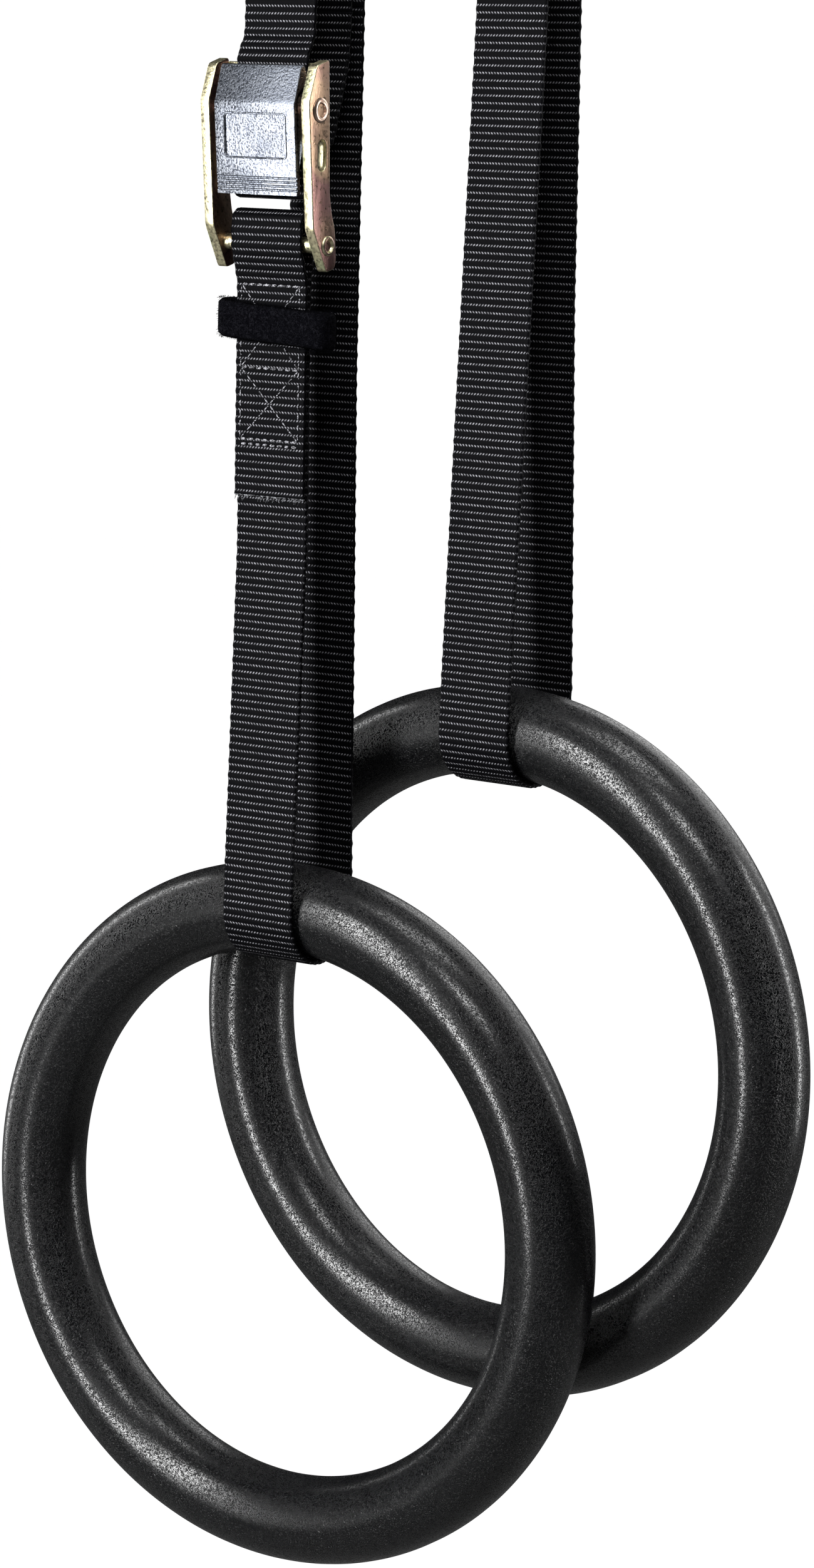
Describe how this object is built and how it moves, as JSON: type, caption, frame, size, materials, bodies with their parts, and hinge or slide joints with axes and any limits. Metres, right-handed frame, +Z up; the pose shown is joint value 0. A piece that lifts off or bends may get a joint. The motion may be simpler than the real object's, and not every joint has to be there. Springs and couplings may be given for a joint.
{
  "type": "gymnastics rings",
  "caption": "Pair of round moulded gymnastics rings, each hanging in a black webbing strap that is set to height with a cam buckle.",
  "frame": {"origin": "centre of the left set's anchor loop, from which the set hangs", "axes": "+X along the webbing's width and the anchor bar, +Y away from the side with the buckles' levers, +Z up"},
  "size_m": [0.2949, 0.0817, 0.9296],
  "materials": {
    "ring_plastic": "moulded plastic with a fine leather grain",
    "webbing": "ribbed woven polyester webbing",
    "hook_and_loop": "fuzzy hook-and-loop tape",
    "thread": "polyester sewing thread",
    "zinc_yellow": "yellow iridescent zinc plating",
    "zinc_bright": "bright blue-white zinc, slightly rough",
    "copper_steel": "copper-tinted plated steel",
    "spring_steel": "drawn spring wire"
  },
  "bodies": {
    "left_hanger": {"left_anchor_loop": "webbing", "left_back_leg_upper": "webbing", "left_loaded_leg": "webbing"},
    "left_drop": {"left_ring_bight": "webbing", "left_front_leg": "webbing", "left_back_leg_lower": "webbing", "left_buckle_turn": "webbing", "left_tail": "webbing", "left_hank": "webbing", "left_hank_tie": "hook_and_loop", "left_sewn_end": "webbing", "left_stitching": "thread", "left_buckle_frame": "zinc_yellow", "left_pivot_rivet": "copper_steel", "left_torsion_spring": "spring_steel", "left_webbing_bar": "zinc_yellow"},
    "left_lever": {"left_cam_lever": "zinc_bright"},
    "left_ring": {"left_ring_front_half": "ring_plastic", "left_ring_rear_half": "ring_plastic"},
    "left_keeper_band": {"left_keeper": "hook_and_loop"},
    "right_hanger": {"right_anchor_loop": "webbing", "right_back_leg_upper": "webbing", "right_loaded_leg": "webbing"},
    "right_drop": {"right_ring_bight": "webbing", "right_front_leg": "webbing", "right_back_leg_lower": "webbing", "right_buckle_turn": "webbing", "right_tail": "webbing", "right_hank": "webbing", "right_hank_tie": "hook_and_loop", "right_sewn_end": "webbing", "right_stitching": "thread", "right_buckle_frame": "zinc_yellow", "right_pivot_rivet": "copper_steel", "right_torsion_spring": "spring_steel", "right_webbing_bar": "zinc_yellow"},
    "right_lever": {"right_cam_lever": "zinc_bright"},
    "right_ring": {"right_ring_front_half": "ring_plastic", "right_ring_rear_half": "ring_plastic"},
    "right_keeper_band": {"right_keeper": "hook_and_loop"}
  },
  "joints": [
    {"name": "right_swing", "type": "hinge", "parent": "left_hanger", "child": "right_hanger", "pos_m": [0.06063, 0.0336, 0], "axis": [0.999, -0.0436, 0], "range_deg": [0, 60]},
    {"name": "left_height", "type": "slide", "parent": "left_hanger", "child": "left_drop", "axis": [0, 0, 1], "range_m": [0, 0.06], "deforming": ["left_back_leg_upper", "left_loaded_leg"]},
    {"name": "left_lever_press", "type": "hinge", "parent": "left_drop", "child": "left_lever", "pos_m": [0, -0.0254, -0.4417], "axis": [1, 0, 0], "range_deg": [0, 8], "stiffness_Nm_per_rad": 0.3, "springref_deg": -17.19},
    {"name": "left_ring_turn", "type": "hinge", "parent": "left_drop", "child": "left_ring", "pos_m": [0.0025, -0.003, -0.804], "axis": [0, 1, 0], "continuous": true},
    {"name": "left_keeper_slide", "type": "slide", "parent": "left_drop", "child": "left_keeper_band", "axis": [0, 0, 1], "range_m": [-0.045, 0.005]},
    {"name": "right_height", "type": "slide", "parent": "right_hanger", "child": "right_drop", "axis": [0, 0, 1], "range_m": [0, 0.06], "deforming": ["right_back_leg_upper", "right_loaded_leg"]},
    {"name": "right_lever_press", "type": "hinge", "parent": "right_drop", "child": "right_lever", "pos_m": [0.05989, 0.01651, -0.241], "axis": [0.999, -0.0436, 0], "range_deg": [0, 8], "stiffness_Nm_per_rad": 0.3, "springref_deg": -17.19},
    {"name": "right_ring_turn", "type": "hinge", "parent": "right_drop", "child": "right_ring", "pos_m": [0.0615, 0.03056, -0.7425], "axis": [0.0436, 0.999, 0], "continuous": true},
    {"name": "right_keeper_slide", "type": "slide", "parent": "right_drop", "child": "right_keeper_band", "axis": [0, 0, 1], "range_m": [-0.045, 0.005]}
  ]
}
